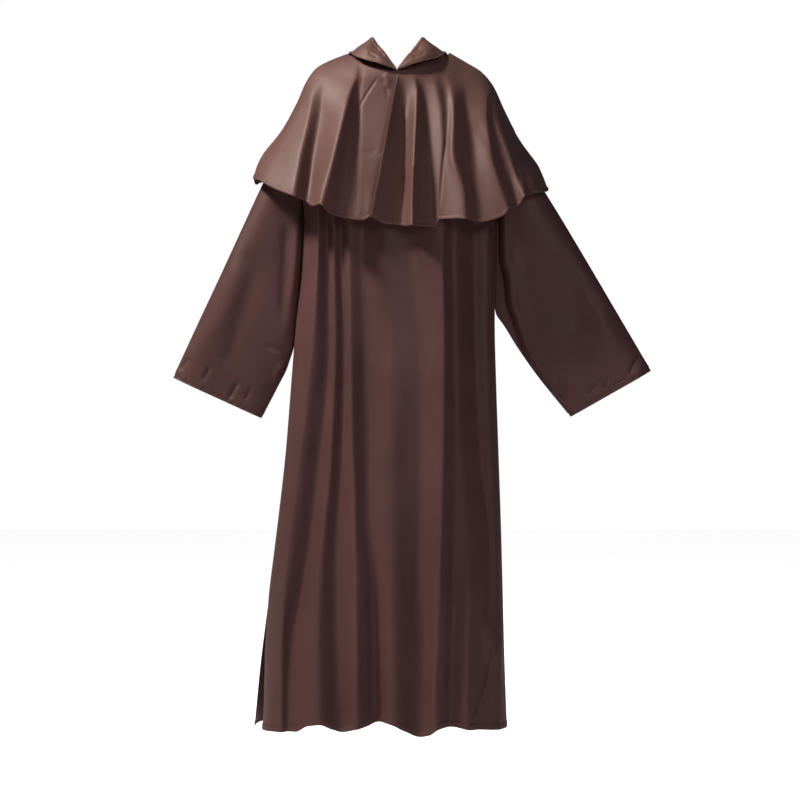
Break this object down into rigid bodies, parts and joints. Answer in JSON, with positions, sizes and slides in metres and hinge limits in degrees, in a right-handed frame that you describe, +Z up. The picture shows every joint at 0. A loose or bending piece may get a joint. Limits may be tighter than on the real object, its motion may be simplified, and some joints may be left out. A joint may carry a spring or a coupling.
{
  "type": "hooded wizard robe with shoulder cape",
  "caption": "Long brown hooded robe with wide straight sleeves and a short flared shoulder cape, hanging hollow as if worn.",
  "frame": {"origin": "middle of the neck opening, where the wearer's neck and shoulders hold the robe", "axes": "+Z up, the front faces -Y, +X is the right side of the picture (the wearer's left)"},
  "size_m": [1.0225, 0.3692, 1.468],
  "materials": {
    "robe_cloth": "mid brown woven polyester satin twill, soft sheen",
    "cape_cloth": "the same mid brown woven polyester satin twill, soft sheen"
  },
  "bodies": {
    "root": {"robe_front": "robe_cloth", "robe_back": "robe_cloth", "sleeve_left": "robe_cloth", "sleeve_right": "robe_cloth", "cape": "cape_cloth", "hood_left": "cape_cloth", "hood_right": "cape_cloth"}
  },
  "joints": []
}
